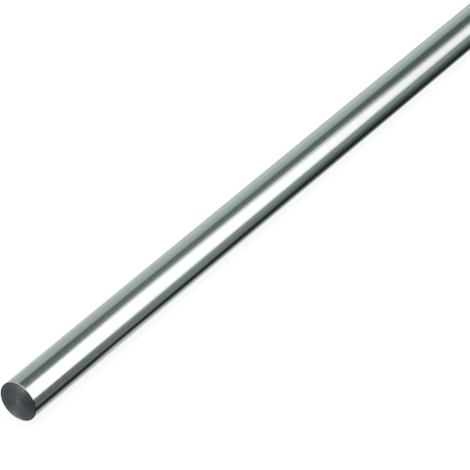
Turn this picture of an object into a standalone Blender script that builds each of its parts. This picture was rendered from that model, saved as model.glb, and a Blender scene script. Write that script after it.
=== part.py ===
"""Aluminium round bar: one length of solid drawn stock, both ends faced square and deburred.

The bar lies along X on a level floor. The origin is on the floor, under the middle of the bar.
Sizes are in metres.
"""

import math

import bpy

# Driving dimensions
BAR_LENGTH = 1.000
BAR_DIAMETER = 0.020
RIM_RADIUS = 0.0003  # rounding that deburring leaves where an end meets the side
RIM_STEPS = 4  # flats across that rounding
SIDE_FLATS = 64  # flats round the side, each touching the true circle

# Angles
QUARTER_TURN = math.radians(90.0)
RIM_LIMIT = math.radians(45.0)  # the rims turn through more than this, the side's own edges less

# Bright drawn finish
METAL_COLOUR = (0.78, 0.80, 0.79, 1.0)
METAL_ROUGHNESS = 0.18


def clear_scene():
    for obj in list(bpy.data.objects):
        bpy.data.objects.remove(obj)


def drawn_aluminium():
    material = bpy.data.materials.new("drawn_aluminium")
    material.use_nodes = True
    surface = material.node_tree.nodes["Principled BSDF"]
    surface.inputs["Base Color"].default_value = METAL_COLOUR
    surface.inputs["Roughness"].default_value = METAL_ROUGHNESS
    surface.inputs["Metallic"].default_value = 1.0
    return material


def upright_bar():
    """The bar as it would stand on end, centred on the origin."""
    half_flat = math.pi / SIDE_FLATS
    bpy.ops.mesh.primitive_cylinder_add(
        vertices=SIDE_FLATS,
        radius=BAR_DIAMETER / 2 / math.cos(half_flat),
        depth=BAR_LENGTH,
    )
    bar = bpy.context.object
    bar.name = "round_bar"
    bar.data.shade_smooth()
    bar.data.set_sharp_from_angle(angle=RIM_LIMIT)
    bar.data.materials.append(drawn_aluminium())
    return bar


def deburr_rims(bar):
    """Rounds the rim of each end, and keeps the end faces flat to look at."""
    rounding = bar.modifiers.new("deburred_rims", "BEVEL")
    rounding.limit_method = "ANGLE"
    rounding.angle_limit = RIM_LIMIT
    rounding.width = RIM_RADIUS
    rounding.segments = RIM_STEPS
    rounding.harden_normals = True


def lay_down(bar):
    """Spins the bar about its own axis until a flat is underneath, then lays it on the floor."""
    half_flat = math.pi / SIDE_FLATS
    bar.rotation_mode = "ZYX"
    bar.rotation_euler = (0.0, QUARTER_TURN, half_flat - QUARTER_TURN)
    bar.location.z = BAR_DIAMETER / 2


def collect(bar):
    """Moves the bar into the collection named for the object."""
    for holder in list(bar.users_collection):
        holder.objects.unlink(bar)
    collection = bpy.data.collections.new("aluminium_round_bar")
    collection.objects.link(bar)
    bpy.context.scene.collection.children.link(collection)


clear_scene()
round_bar = upright_bar()
deburr_rims(round_bar)
lay_down(round_bar)
collect(round_bar)
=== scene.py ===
import math

import bmesh
import bpy
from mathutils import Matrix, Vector


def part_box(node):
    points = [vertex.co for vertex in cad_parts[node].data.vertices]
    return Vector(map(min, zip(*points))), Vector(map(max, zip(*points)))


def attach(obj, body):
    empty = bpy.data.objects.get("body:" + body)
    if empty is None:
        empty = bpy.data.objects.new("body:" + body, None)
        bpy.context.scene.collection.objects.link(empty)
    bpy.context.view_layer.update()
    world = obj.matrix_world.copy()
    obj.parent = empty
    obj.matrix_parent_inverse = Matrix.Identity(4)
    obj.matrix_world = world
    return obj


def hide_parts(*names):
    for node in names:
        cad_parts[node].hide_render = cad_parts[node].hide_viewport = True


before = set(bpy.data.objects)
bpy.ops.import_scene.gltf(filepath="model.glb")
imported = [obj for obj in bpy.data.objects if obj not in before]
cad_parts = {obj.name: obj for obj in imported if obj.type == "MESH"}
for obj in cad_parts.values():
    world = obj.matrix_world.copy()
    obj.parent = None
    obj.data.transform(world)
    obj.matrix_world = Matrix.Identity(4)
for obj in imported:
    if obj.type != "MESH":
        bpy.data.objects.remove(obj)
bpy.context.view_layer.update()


# The bar is solid aluminium, drawn bright through a die and then sawn to length. Both ends are
# faced in a lathe, which leaves fine rings round a small pip, and their rims are deburred by hand.
# It lies loose on the floor. The drawn side and the turned ends are one metal, so one slot.
bar_low, bar_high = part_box("round_bar")
bar_radius = (bar_high.z - bar_low.z) / 2
axis_height = bar_low.z + bar_radius
half_length = bar_high.x

SEGMENTS = 192
SIDE_STEPS = 40
SIDE_HOLD = 0.0001  # a last ring this far from the rim keeps the side's shading straight
RIM_RADIUS = 0.0003
RIM_STEPS = 8
SAME_POINT = 1e-6  # points closer than this are welded

TOOL_PITCH = 0.00025  # the lathe tool's feed for each turn of the bar
MIDDLE_TOOL_DEPTH = 0.000036
OUTER_TOOL_DEPTH = 0.000070  # at the rim, where the metal goes fastest
TOOL_POINTS = 4  # rings of the mesh in each feed
CHATTER_PITCH = 0.0011
CHATTER_DEPTH = 0.000007
CHATTER_IN_MIDDLE = 0.3  # as a share of its depth at the rim
CHATTER_WANDER = 0.35  # how far the chatter strays, as a share of its pitch
WANDER_PITCH = 0.003
PIP_RADIUS = 0.0006
PIP_HEIGHT = 0.00005


def ripple(turns):
    """A wave that starts at 0 and goes up to 1 and back in each turn."""
    return 0.5 - 0.5 * math.cos(2 * math.pi * turns)


def turned_depth(radius):
    """How far the lathe tool went below the end's outermost plane, at a radius from the middle."""
    outward = radius / bar_radius
    pip = max(0.0, 1 - (radius / PIP_RADIUS) ** 2)
    wander = CHATTER_WANDER * math.sin(2 * math.pi * radius / WANDER_PITCH) * outward
    tool_depth = MIDDLE_TOOL_DEPTH + (OUTER_TOOL_DEPTH - MIDDLE_TOOL_DEPTH) * outward
    chatter_depth = CHATTER_DEPTH * (CHATTER_IN_MIDDLE + (1 - CHATTER_IN_MIDDLE) * outward)
    tool = tool_depth * ripple(radius / TOOL_PITCH)
    chatter = chatter_depth * ripple(radius / CHATTER_PITCH + wander)
    return PIP_HEIGHT * (1 - pip) + tool + chatter


def end_outline():
    """Points (inset from the end, radius) from the middle of the end out over its rim."""
    face_radius = bar_radius - RIM_RADIUS
    count = round(face_radius / TOOL_PITCH * TOOL_POINTS)
    radii = [face_radius * i / count for i in range(count)]
    points = [(turned_depth(radius), radius) for radius in radii]
    for i in range(RIM_STEPS + 1):
        turn = math.pi / 2 * i / RIM_STEPS
        inset = RIM_RADIUS * (1 - math.cos(turn))
        points.append((inset, face_radius + RIM_RADIUS * math.sin(turn)))
    return points


def bar_outline():
    """Points (x, radius) from the middle of one end, along the side, to the middle of the other."""
    end = end_outline()
    near = [(inset - half_length, radius) for inset, radius in end]
    far = [(half_length - inset, radius) for inset, radius in reversed(end)]
    start = RIM_RADIUS - half_length + SIDE_HOLD
    side = [(start - start * 2 * i / SIDE_STEPS, bar_radius) for i in range(SIDE_STEPS + 1)]
    return near + side + far


def turn_bar():
    """Spins the outline round the bar's axis, as on a lathe."""
    shape = bmesh.new()
    points = [shape.verts.new((x, radius, axis_height)) for x, radius in bar_outline()]
    edges = [shape.edges.new(pair) for pair in zip(points, points[1:])]
    bmesh.ops.spin(
        shape,
        geom=points + edges,
        cent=(0, 0, axis_height),
        axis=(1, 0, 0),
        angle=2 * math.pi,
        steps=SEGMENTS,
        use_merge=True,
    )
    bmesh.ops.remove_doubles(shape, verts=shape.verts, dist=SAME_POINT)
    bmesh.ops.recalc_face_normals(shape, faces=shape.faces)
    mesh = bpy.data.meshes.new("turned_bar")
    shape.to_mesh(mesh)
    shape.free()
    mesh.shade_smooth()
    bar = bpy.data.objects.new("turned_bar", mesh)
    bpy.context.scene.collection.objects.link(bar)
    return bar


class Wire:
    """The value of one socket in a node tree. Sums written with it add Math nodes."""

    def __init__(self, socket):
        self.socket = socket

    def math(self, operation, first, second):
        settings = {"operation": operation}
        return Nodes(self.socket.id_data).node("ShaderNodeMath", settings, {0: first, 1: second})

    def __add__(self, other):
        return self.math("ADD", self, other)

    def __radd__(self, other):
        return self.math("ADD", other, self)

    def __sub__(self, other):
        return self.math("SUBTRACT", self, other)

    def __rsub__(self, other):
        return self.math("SUBTRACT", other, self)

    def __mul__(self, other):
        return self.math("MULTIPLY", self, other)

    def __rmul__(self, other):
        return self.math("MULTIPLY", other, self)

    def __truediv__(self, other):
        return self.math("DIVIDE", self, other)

    def __rtruediv__(self, other):
        return self.math("DIVIDE", other, self)


class Nodes:
    """A node tree that is being filled."""

    def __init__(self, tree):
        self.tree = tree

    def node(self, kind, settings, sockets, output=0):
        """Adds a node, sets its settings, then its sockets, and gives the wire from one output."""
        made = self.tree.nodes.new(kind)
        for name, value in settings.items():
            setattr(made, name, value)
        for name, value in sockets.items():
            if isinstance(value, Wire):
                self.tree.links.new(value.socket, made.inputs[name])
            else:
                made.inputs[name].default_value = value
        return Wire(made.outputs[output]) if made.outputs else None

    def mix(self, share, first, last):
        """The first colour where the share is 0, and the last where it is 1."""
        sockets = {0: share, 6: first, 7: last}  # the node's own places for colours
        return self.node("ShaderNodeMix", {"data_type": "RGBA"}, sockets, 2)

    def rise(self, value, first, last):
        """0 up to the first value, 1 from the last, and a smooth climb between."""
        sockets = {"Value": value, "From Min": first, "From Max": last}
        return self.node("ShaderNodeMapRange", {"interpolation_type": "SMOOTHSTEP"}, sockets)


def new_material(name):
    """An empty node material, and what fills it."""
    material = bpy.data.materials.new(name)
    material.use_nodes = True
    material.node_tree.nodes.clear()
    return material, Nodes(material.node_tree)


# Each kind of mark on the drawn side: its length along the bar and its width across it, then by
# how much it dulls the metal, roughens it, and stands up as a share of the depth of a mark
MARK_DEPTH = 0.000022
DIE_LINES = (0.12, 0.00035)
DIE_LINES_DULL = 0.5
DIE_LINES_ROUGH = 0.07
DIE_LINES_HIGH = 0.4
BROAD_LINES = (0.30, 0.0018)
ROLLER_MARKS = (0.0011, 0.009)
ROLLER_MARKS_DULL = 1.2
ROLLER_MARKS_HIGH = 0.7
HANDLING = (0.05, 0.012)
HANDLING_DULL = 0.3
HANDLING_ROUGH = 0.04
MIDDLE_OF_MARKS = 0.5  # the middle value of the noise that they are made of

METAL = (0.78, 0.80, 0.79, 1.0)
DULL_METAL = (0.70, 0.725, 0.72, 1.0)
GRIPPED_METAL = (0.65, 0.67, 0.67, 1.0)
SIDE_ROUGHNESS = 0.09
GRIP_START = 0.006  # the chuck's marks are strongest up to here from an end
GRIP_END = 0.024
GRIP_FAINT = 0.46  # the roller marks that the jaws went over, by the value of their noise
GRIP_CLEAR = 0.66
SCUFF_START = 0.0005  # the deburring file scuffed the side this far from an end
SCUFF_END = 0.0010
SCUFF_SIDE_START = -0.45  # and only on the bar's back, as shares of the radius across the bar
SCUFF_SIDE_FULL = -0.25
SCUFF_ROUGH = 0.30


def marks(nodes, place, size, detail):
    """Noise from 0 to 1 with marks of one length along the bar and one width across it."""
    length, width = size
    shrink = (1 / length, 1 / width, 1 / width)
    stretched = nodes.node(
        "ShaderNodeVectorMath", {"operation": "MULTIPLY"}, {0: place, 1: shrink}
    )
    sockets = {"Vector": stretched, "Scale": 1.0, "Detail": detail, "Roughness": 0.55}
    return nodes.node("ShaderNodeTexNoise", {"noise_dimensions": "3D"}, sockets)


def drawn_side(nodes, place, from_end):
    """Colour, roughness and height of the side, with what the chuck and the file did to it."""
    die_lines = marks(nodes, place, DIE_LINES, 2.0)
    broad_lines = marks(nodes, place, BROAD_LINES, 1.0)
    roller_marks = marks(nodes, place, ROLLER_MARKS, 1.0)
    handling = marks(nodes, place, HANDLING, 3.0)

    rolled = (roller_marks - MIDDLE_OF_MARKS) * ROLLER_MARKS_DULL
    dullness = die_lines * DIE_LINES_DULL + handling * HANDLING_DULL + rolled
    jaws = 1 - nodes.rise(from_end, GRIP_START, GRIP_END)
    gripped = nodes.rise(roller_marks, GRIP_FAINT, GRIP_CLEAR) * jaws
    colour = nodes.mix(gripped, nodes.mix(dullness, METAL, DULL_METAL), GRIPPED_METAL)

    sideways = nodes.node("ShaderNodeSeparateXYZ", {}, {0: place}, "Y")
    back = nodes.rise(sideways, SCUFF_SIDE_START * bar_radius, SCUFF_SIDE_FULL * bar_radius)
    scuffed = back * (1 - nodes.rise(from_end, SCUFF_START, SCUFF_END))
    lined = SIDE_ROUGHNESS + DIE_LINES_ROUGH * die_lines + HANDLING_ROUGH * handling
    roughness = lined + SCUFF_ROUGH * scuffed
    height = die_lines * DIE_LINES_HIGH + broad_lines + roller_marks * ROLLER_MARKS_HIGH
    return colour, roughness, height


FACED_METAL = (0.65, 0.665, 0.655, 1.0)
FACED_DARK = (0.43, 0.445, 0.44, 1.0)
LAST_CUT_METAL = (0.63, 0.65, 0.64, 1.0)
# painted shade: the rim's dark reflection, painted into its colour as a dark outline round each end
PAINTED_RIM_SHADE = (0.22, 0.23, 0.235, 1.0)
FACED_ROUGHNESS = 0.29
EDGE_ROUGHNESS = 0.14

RING_PITCH = 0.0009
RINGS_LIGHT = 0.36  # the rings go from light to dark between these values of their noise
RINGS_DARK = 0.64
RINGS_IN_MIDDLE = 0.35  # they are weaker in the middle of an end, and full near its rim
RINGS_START = 0.4  # as shares of the radius
RINGS_FULL = 0.9
RINGS_ROUGH = 0.06
LAST_CUT_START = 0.80  # the cut is brighter near the rim, as shares of the radius
LAST_CUT_FULL = 0.86
EDGE_START = 0.0006  # the painted shade and the smoother finish at an end's edge start this far in from the side
EDGE_FULL = 0.0002
TORN_START = 0.0006  # the cut is rougher in the middle of an end, where the metal goes slowest
TORN_END = 0.0030
TORN_ROUGH = 0.18


def faced_end(nodes, radius):
    """Colour and roughness of the ends, darker towards the deburred rim, where shade is painted as
    a dark outline.
    """
    sockets = {"W": radius / RING_PITCH, "Scale": 1.0, "Detail": 1.0, "Roughness": 0.5}
    rings = nodes.node("ShaderNodeTexNoise", {"noise_dimensions": "1D"}, sockets)
    outward = nodes.rise(radius, RINGS_START * bar_radius, RINGS_FULL * bar_radius)
    strength = RINGS_IN_MIDDLE + (1 - RINGS_IN_MIDDLE) * outward
    dark_rings = nodes.rise(rings, RINGS_LIGHT, RINGS_DARK) * strength
    last_cut = nodes.rise(radius, LAST_CUT_START * bar_radius, LAST_CUT_FULL * bar_radius)
    # the edge mask paints shade at the rim as a dark outline, and makes the rim smoother
    edge = nodes.rise(radius, bar_radius - EDGE_START, bar_radius - EDGE_FULL)
    ringed = nodes.mix(dark_rings, FACED_METAL, FACED_DARK)
    colour = nodes.mix(edge, nodes.mix(last_cut, ringed, LAST_CUT_METAL), PAINTED_RIM_SHADE)

    smoother = (FACED_ROUGHNESS - EDGE_ROUGHNESS) * edge
    torn_middle = 1 - nodes.rise(radius, TORN_START, TORN_END)
    roughness = FACED_ROUGHNESS + RINGS_ROUGH * dark_rings - smoother + TORN_ROUGH * torn_middle
    return colour, roughness


FACED_END = 0.45  # the cut metal goes over into drawn metal here, as shares of the rim's radius
DRAWN_START = 0.6
NICKS = (0.0006, 0.0006)
NICKS_HIGH = 1.5
NICKS_START = 0.0016  # the nicks in the rim: from here on the end, measured in from the side
NICKS_FULL = 0.0004
NICKS_FADE = 0.0004  # and as far as this on the side, measured from the end
NICKS_END = 0.0009


def drawn_aluminium():
    material, nodes = new_material("drawn_aluminium")
    place = nodes.node("ShaderNodeTexCoord", {}, {}, "Object")
    along = nodes.node("ShaderNodeSeparateXYZ", {}, {0: place}, "X")
    from_end = half_length - nodes.node("ShaderNodeMath", {"operation": "ABSOLUTE"}, {0: along})
    from_axis = nodes.node(
        "ShaderNodeVectorMath", {"operation": "SUBTRACT"}, {0: place, 1: (0, 0, axis_height)}
    )
    across = nodes.node(
        "ShaderNodeVectorMath", {"operation": "MULTIPLY"}, {0: from_axis, 1: (0, 1, 1)}
    )
    radius = nodes.node("ShaderNodeVectorMath", {"operation": "LENGTH"}, {0: across}, "Value")

    side_colour, side_roughness, side_height = drawn_side(nodes, place, from_end)
    end_colour, end_roughness = faced_end(nodes, radius)
    on_end = nodes.rise(radius, bar_radius - NICKS_START, bar_radius - NICKS_FULL)
    rim = on_end * (1 - nodes.rise(from_end, NICKS_FADE, NICKS_END))
    nicks = marks(nodes, place, NICKS, 1.0)

    faced = 1 - nodes.rise(from_end, FACED_END * RIM_RADIUS, DRAWN_START * RIM_RADIUS)
    colour = nodes.mix(faced, side_colour, end_colour)
    roughness = side_roughness * (1 - faced) + end_roughness * faced
    height = side_height * (1 - faced) + NICKS_HIGH * nicks * rim
    normal = nodes.node("ShaderNodeBump", {}, {"Height": height, "Distance": MARK_DEPTH})
    metal = nodes.node(
        "ShaderNodeBsdfPrincipled",
        {},
        {"Base Color": colour, "Metallic": 1.0, "Roughness": roughness, "Normal": normal},
    )
    nodes.node("ShaderNodeOutputMaterial", {}, {"Surface": metal})
    return material


bar = turn_bar()
bar.data.materials.append(drawn_aluminium())
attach(bar, "root")
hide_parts("round_bar")


# The floor is a plain pale studio floor of matt board, laid flat. The camera and the metal see it
# lit to white, and it keeps the bar's soft shadow.
FLOOR_REACH = 45.0
FLOOR_COLOUR = (0.8, 0.8, 0.8, 1.0)
FLOOR_GLOW_SHARE = 0.76
FLOOR_GLOW = 1.12
WHITE = (1.0, 1.0, 1.0, 1.0)


def seen_or_mirrored(nodes):
    """1 for what the camera, the metal's gloss or glass sees, 0 for light that falls on things."""
    camera = nodes.node("ShaderNodeLightPath", {}, {}, "Is Camera Ray")
    gloss = nodes.node("ShaderNodeLightPath", {}, {}, "Is Glossy Ray")
    glass = nodes.node("ShaderNodeLightPath", {}, {}, "Is Transmission Ray")
    every = camera + gloss + glass
    return nodes.node("ShaderNodeMath", {"operation": "MINIMUM"}, {0: every, 1: 1.0})


def floor_paint():
    material, nodes = new_material("studio_floor")
    matt = nodes.node("ShaderNodeBsdfDiffuse", {}, {"Color": FLOOR_COLOUR})
    glow = nodes.node("ShaderNodeEmission", {}, {"Color": WHITE, "Strength": FLOOR_GLOW})
    share = seen_or_mirrored(nodes) * FLOOR_GLOW_SHARE
    floor = nodes.node("ShaderNodeMixShader", {}, {0: share, 1: matt, 2: glow})
    nodes.node("ShaderNodeOutputMaterial", {}, {"Surface": floor})
    return material


floor_mesh = bpy.data.meshes.new("studio_floor")
floor_corners = [
    (FLOOR_REACH * x, FLOOR_REACH * y, bar_low.z) for x, y in ((-1, -1), (1, -1), (1, 1), (-1, 1))
]
floor_mesh.from_pydata(floor_corners, [], [(0, 1, 2, 3)])
floor_mesh.materials.append(floor_paint())
floor = bpy.data.objects.new("studio_floor", floor_mesh)
bpy.context.scene.collection.objects.link(floor)


# The room round the bar is an even white, as in a light tent. It is dimmer for the light that it
# sheds on the floor.
ROOM_SEEN = 1.0
ROOM_LIGHT = 0.55

world = bpy.data.worlds.new("white_room")
bpy.context.scene.world = world
world.use_nodes = True
world.node_tree.nodes.clear()
room = Nodes(world.node_tree)
room_strength = ROOM_LIGHT + (ROOM_SEEN - ROOM_LIGHT) * seen_or_mirrored(room)
room_white = room.node("ShaderNodeBackground", {}, {"Color": WHITE, "Strength": room_strength})
room.node("ShaderNodeOutputWorld", {}, {"Surface": room_white})


# One broad soft lamp hangs over the bar and gives the floor its shadow. The metal doesn't mirror
# it, since the cards below are what it mirrors.
LAMP_SIZE = 1.6
LAMP_HEIGHT = 1.8
LAMP_POWER = 22.0

lamp_data = bpy.data.lights.new("soft_lamp", "AREA")
lamp_data.shape = "SQUARE"
lamp_data.size = LAMP_SIZE
lamp_data.energy = LAMP_POWER
lamp = bpy.data.objects.new("soft_lamp", lamp_data)
lamp.location = (0, 0, LAMP_HEIGHT)
lamp.visible_glossy = False
bpy.context.scene.collection.objects.link(lamp)


# The camera stands over the near end and a little in front of the bar, on a long lens. It looks
# down along the bar, so that the far end runs out of the picture.
LENS = 199.21  # the lens and the sensor's width are in millimetres
SENSOR = 36.0
TURN_FROM_BAR = math.radians(34.06)
TILT_DOWN = math.radians(34.45)
NEAR_END_IN_VIEW = Vector((-0.09693, -0.07452, -1.16144))  # right, up and back from the camera

camera_data = bpy.data.cameras.new("camera")
camera_data.lens = LENS
camera_data.sensor_width = SENSOR
camera = bpy.data.objects.new("camera", camera_data)
camera.rotation_euler = (math.pi / 2 - TILT_DOWN, 0.0, TURN_FROM_BAR - math.pi / 2)
near_end = Vector((-half_length, 0.0, axis_height))
camera.location = near_end - camera.rotation_euler.to_matrix() @ NEAR_END_IN_VIEW
bpy.context.scene.collection.objects.link(camera)
bpy.context.scene.camera = camera
bpy.context.scene.view_settings.view_transform = "Standard"


# Cards stand round the bar along its whole length, as a studio sets them for bright metal, and only
# the metal mirrors them. A station of a card is its place from the bar's near end, how far the
# colours have gone to the last pair, and its four lines: first edge, full, still full, last edge.
CARDS_START = -3.0
CARDS_END = 4.0
CARD_PARTS = 3  # across a card: its fading first edge, its middle and its fading last edge
CARD_STEPS = 8  # faces in each part of a curved card
CARD_THICKNESS = 0.0002


def card_paint(name, colours, soft):
    """A glowing card. Colours are pairs for its two edges, evenly spaced along the bar."""
    material, nodes = new_material(name)
    place = nodes.node("ShaderNodeUVMap", {"uv_map": "card"}, {})
    along = nodes.node("ShaderNodeSeparateXYZ", {}, {0: place}, "X")
    across = nodes.node("ShaderNodeSeparateXYZ", {}, {0: place}, "Y")
    bands = [nodes.mix(across / CARD_PARTS, first + (1,), last + (1,)) for first, last in colours]
    colour = bands[0]
    for i, band in enumerate(bands[1:]):
        colour = nodes.mix(along * (len(bands) - 1) - i, colour, band)
    card = nodes.node("ShaderNodeEmission", {}, {"Color": colour})
    for is_soft, from_edge in zip(soft, (across, CARD_PARTS - across)):
        if is_soft:
            clear = nodes.node("ShaderNodeBsdfTransparent", {}, {})
            shown = nodes.rise(from_edge, 0.0, 1.0)
            card = nodes.node("ShaderNodeMixShader", {}, {0: shown, 1: clear, 2: card})
    nodes.node("ShaderNodeOutputMaterial", {}, {"Surface": card})
    return material


def add_card(name, rows, colours, soft=(True, True)):
    """A sheet through rows of points. Each row opens with how far the colours have gone there."""
    width = len(rows[0][1])
    points = [point for _, row in rows for point in row]
    places = [(share, CARD_PARTS * i / (width - 1)) for share, _ in rows for i in range(width)]
    faces = [
        (j * width + i, j * width + i + 1, (j + 1) * width + i + 1, (j + 1) * width + i)
        for j in range(len(rows) - 1)
        for i in range(width - 1)
    ]
    mesh = bpy.data.meshes.new(name)
    mesh.from_pydata(points, [], faces)
    mesh.materials.append(card_paint(name, colours, soft))
    layer = mesh.uv_layers.new(name="card")
    for loop in mesh.loops:
        layer.data[loop.index].uv = places[loop.vertex_index]
    card = bpy.data.objects.new(name, mesh)
    bpy.context.scene.collection.objects.link(card)
    card.visible_camera = False
    card.visible_diffuse = False
    card.visible_transmission = False
    card.visible_shadow = False
    card.visible_volume_scatter = False


def run_on(rows, start, finish):
    """Runs a card on from its first row back to its start, and from its last row to its finish."""
    first_share, first = rows[0]
    last_share, last = rows[-1]
    before = [(start, y, z) for x, y, z in first]
    after = [(finish, y, z) for x, y, z in last]
    return [(first_share, before)] + rows + [(last_share, after)]


def round_bar_points(x, distance, turns):
    """Points round the bar through four turns about its axis, with the same number in each part.
    A turn is 0 degrees behind the bar, 90 above it and 180 in front."""
    row = [
        first + (last - first) * i / CARD_STEPS
        for first, last in zip(turns, turns[1:])
        for i in range(CARD_STEPS)
    ]
    angles = [math.radians(turn) for turn in row + [turns[-1]]]
    return [
        (x, distance * math.cos(angle), axis_height + distance * math.sin(angle))
        for angle in angles
    ]


def mirrored_x(place, distance):
    """Where the camera's view of a place on the bar's side goes on to, at a distance from it."""
    x = place - half_length
    rise = math.hypot(camera.location.y, camera.location.z - axis_height)
    return x + distance * (x - camera.location.x) / rise


def hang_card(name, distance, stations, colours, soft=(True, True), start=CARDS_START):
    """A card round the bar. The lines at each station are turns about the bar's axis."""
    rows = [
        (share, round_bar_points(mirrored_x(place, distance), distance, turns))
        for place, share, turns in stations
    ]
    add_card(name, run_on(rows, start, CARDS_END), colours, soft)


def layer_height(layer):
    """How high a card lies that is in one of the thin layers on the floor."""
    return bar_low.z + layer * CARD_THICKNESS


def lay_card(name, layer, stations, colours, soft=(True, True), start=CARDS_START):
    """A card on the floor, in one of the layers there. The lines at each station are in metres."""
    rows = [
        (share, [(place - half_length, y, layer_height(layer)) for y in lines])
        for place, share, lines in stations
    ]
    add_card(name, run_on(rows, start, CARDS_END), colours, soft)


# Behind the bar stands a grey backdrop of matt card, and a grey sweep runs from it to the bar.
# They give the upper side its soft grey band.
BACKDROP_TURNS = (-1, 20, 50, 80)
hang_card(
    "grey_backdrop",
    distance=1.0,
    stations=[
        (0.03, 0.0, BACKDROP_TURNS),
        (0.11, 0.35, BACKDROP_TURNS),
        (0.16, 0.8, BACKDROP_TURNS),
        (0.33, 1.0, BACKDROP_TURNS),
    ],
    colours=[
        ((0.52, 0.565, 0.565), (0.335, 0.39, 0.385)),
        ((0.65, 0.735, 0.70), (0.235, 0.31, 0.285)),
    ],
    soft=(False, False),
)
SWEEP_LINES = (0.002, 0.3, 0.6, 1.0)
lay_card(
    "grey_sweep",
    layer=1,
    stations=[(0.03, 0.0, SWEEP_LINES), (0.33, 1.0, SWEEP_LINES)],
    colours=[
        ((0.66, 0.69, 0.69), (0.54, 0.59, 0.58)),
        ((0.52, 0.57, 0.56), (0.54, 0.61, 0.59)),
    ],
    soft=(False, False),
    start=-half_length,
)

# Overhead a white softbox, lit from behind, gives the bright band. A dark cloth flag hangs inside
# its back edge, and a thin one along its front edge, so that the band stays narrow.
SOFTBOX_TURNS = (80, 110, 150, 182)
hang_card(
    "softbox",
    distance=1.1,
    stations=[
        (0.03, 0.0, SOFTBOX_TURNS),
        (0.215, 0.35, SOFTBOX_TURNS),
        (0.33, 1.0, SOFTBOX_TURNS),
    ],
    colours=[
        ((1.5, 1.5, 1.5), (1.4, 1.4, 1.4)),
        ((1.29, 1.23, 1.18), (1.09, 1.075, 1.045)),
    ],
    soft=(False, False),
)
hang_card(
    "dark_flag",
    distance=0.5,
    stations=[
        (0.0275, 0.0, (48, 66, 96, 113)),
        (0.066, 0.5, (50, 68, 85, 116)),
        (0.16, 0.65, (57, 71, 90, 121)),
        (0.274, 0.85, (60, 75, 94, 130)),
        (0.328, 1.0, (58, 77, 101, 137)),
    ],
    colours=[
        ((0.015, 0.03, 0.03), (0.24, 0.29, 0.28)),
        ((0.025, 0.045, 0.04), (0.29, 0.345, 0.33)),
        ((0.045, 0.075, 0.07), (0.12, 0.17, 0.16)),
    ],
    start=-0.2,
)
FRONT_FLAG_NEAR = (0.03, 0.05, 0.045)
FRONT_FLAG_FAR = (0.175, 0.24, 0.22)
hang_card(
    "front_flag",
    distance=0.45,
    stations=[
        (0.0275, 0.0, (167, 175, 181, 188)),
        (0.066, 0.7, (162, 180, 181, 182)),
        (0.215, 0.85, (162, 180, 181, 182)),
        (0.328, 1.0, (157, 178, 181, 182)),
    ],
    colours=[(FRONT_FLAG_NEAR, FRONT_FLAG_NEAR), (FRONT_FLAG_FAR, FRONT_FLAG_FAR)],
    soft=(True, False),
)

# On the floor in front lie a dark green-grey board and a black strip close to the bar, which give
# the lower side its dark bands. The black strip is painted shadow: it stands in for the bar's
# shadow on the floor there, as the metal mirrors it. A grey card under the bar is painted shade
# too: it stands in for the floor's shadow under the bar, which the metal mirrors at its lowest
# edge.
BOARD_LINES = (-0.022, -0.035, -0.07, -0.46)
lay_card(
    "front_board",
    layer=2,
    stations=[
        (0.0275, 0.0, BOARD_LINES),
        (0.066, 0.2, BOARD_LINES),
        (0.215, 0.75, BOARD_LINES),
        (0.274, 1.0, BOARD_LINES),
    ],
    colours=[
        ((0.19, 0.215, 0.205), (0.015, 0.035, 0.03)),
        ((0.20, 0.235, 0.225), (0.19, 0.25, 0.225)),
        ((0.035, 0.05, 0.05), (0.33, 0.42, 0.385)),
    ],
    soft=(False, False),
)
# painted shadow: a black strip standing in for the bar's shadow on the floor in front, as the metal
# mirrors it
lay_card(
    "black_shadow_strip",
    layer=4,
    stations=[
        (0.0275, 0.0, (-0.0262, -0.0205, -0.0149, -0.0080)),
        (0.066, 0.2, (-0.0262, -0.0205, -0.0164, -0.0080)),
        (0.112, 0.35, (-0.0263, -0.0202, -0.0148, -0.0076)),
        (0.16, 0.5, (-0.0265, -0.0200, -0.0142, -0.0073)),
        (0.215, 0.7, (-0.0266, -0.0197, -0.0139, -0.0063)),
        (0.328, 1.0, (-0.0270, -0.0190, -0.0122, -0.0034)),
    ],
    colours=[
        ((0.012, 0.018, 0.017), (0.02, 0.028, 0.027)),
        ((0.02, 0.03, 0.03), (0.009, 0.017, 0.018)),
    ],
)
# painted shade: a grey card standing in for the floor's shadow under the bar, as the metal mirrors
# it
CONTACT_LINES = (-0.0125, -0.0105, 0.001, 0.003)
CONTACT_SHADE_NEAR = (0.68, 0.71, 0.71)
CONTACT_SHADE_FAR = (0.82, 0.87, 0.87)
lay_card(
    "contact_shade_card",
    layer=3,
    stations=[(0.03, 0.0, CONTACT_LINES), (0.33, 1.0, CONTACT_LINES)],
    colours=[(CONTACT_SHADE_NEAR, CONTACT_SHADE_NEAR), (CONTACT_SHADE_FAR, CONTACT_SHADE_FAR)],
    start=-half_length,
)

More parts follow.
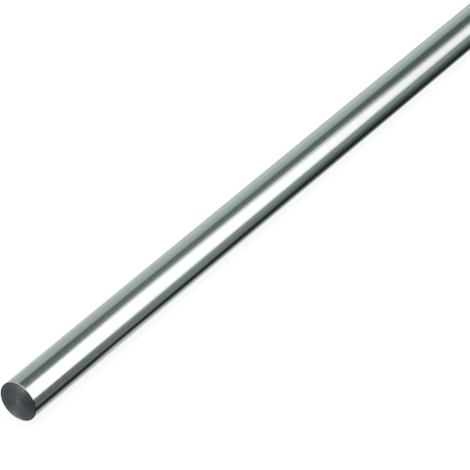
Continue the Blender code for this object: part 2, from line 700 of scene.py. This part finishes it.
# A pale grey hood hangs over the near end, out past it, and gives the upper rim its light line.
# It stops short of what the bar's side mirrors.
HOOD_DISTANCE = 0.9
HOOD_TURNS = (26, 40, 96, 106)
HOOD_START = -2.0
HOOD_END = -0.4
add_card(
    "grey_hood",
    [(0, round_bar_points(x, HOOD_DISTANCE, HOOD_TURNS)) for x in (HOOD_START, HOOD_END)],
    colours=[((0.95, 1.02, 1.0), (0.35, 0.40, 0.40))],
)

# Each end looks down at a dark board that runs out along the floor and up a low wall. A tall soft
# lamp beside the bar's line lights the facing rings where they face it, in a bow tie. The floor in
# front of the bar is in shade.
BOARD_LAYER = 3
BOARD_HALF_WIDTH = 1.5
BOARD_LINE = [  # out from the end, and up from the floor
    (-0.002, 0.0),
    (0.7, 0.0),
    (1.4, 0.0),
    (1.4, 0.27),
    (1.4, 0.54),
    (1.4, 0.9),
]
BOARD_COLOUR = (0.095, 0.11, 0.12)
END_LAMP_RUN = 1.1
END_LAMP_LINES = (0.10, 0.20, 0.46, 0.56)
END_LAMP_HEIGHTS = (-0.02, 0.30)
END_LAMP_COLOUR = (1.6, 1.75, 1.7)
SHADE_LAYER = 5
SHADE_COLOUR = (0.02, 0.025, 0.035)
SHADE_LINES = [  # out from the end, and the shade's lines there
    (0.006, (-0.090, -0.085, -0.0038, -0.0022)),
    (0.045, (-0.090, -0.085, 0.0267, 0.0283)),
]

board_height = layer_height(BOARD_LAYER)
shade_height = layer_height(SHADE_LAYER)
for name, side in (("near", -1), ("far", 1)):
    end_x = side * half_length
    board_rows = [
        (0, [(end_x + side * run, y, board_height + rise) for run, rise in BOARD_LINE])
        for y in (-BOARD_HALF_WIDTH, BOARD_HALF_WIDTH)
    ]
    add_card(name + "_end_board", board_rows, [(BOARD_COLOUR, BOARD_COLOUR)], soft=(False, True))
    lamp_x = end_x + side * END_LAMP_RUN
    lamp_rows = [(0, [(lamp_x, y, z) for y in END_LAMP_LINES]) for z in END_LAMP_HEIGHTS]
    add_card(name + "_end_lamp", lamp_rows, [(END_LAMP_COLOUR, END_LAMP_COLOUR)])
    shade_rows = [
        (0, [(end_x + side * run, y, shade_height) for y in lines]) for run, lines in SHADE_LINES
    ]
    add_card(name + "_end_shade", shade_rows, [(SHADE_COLOUR, SHADE_COLOUR)])
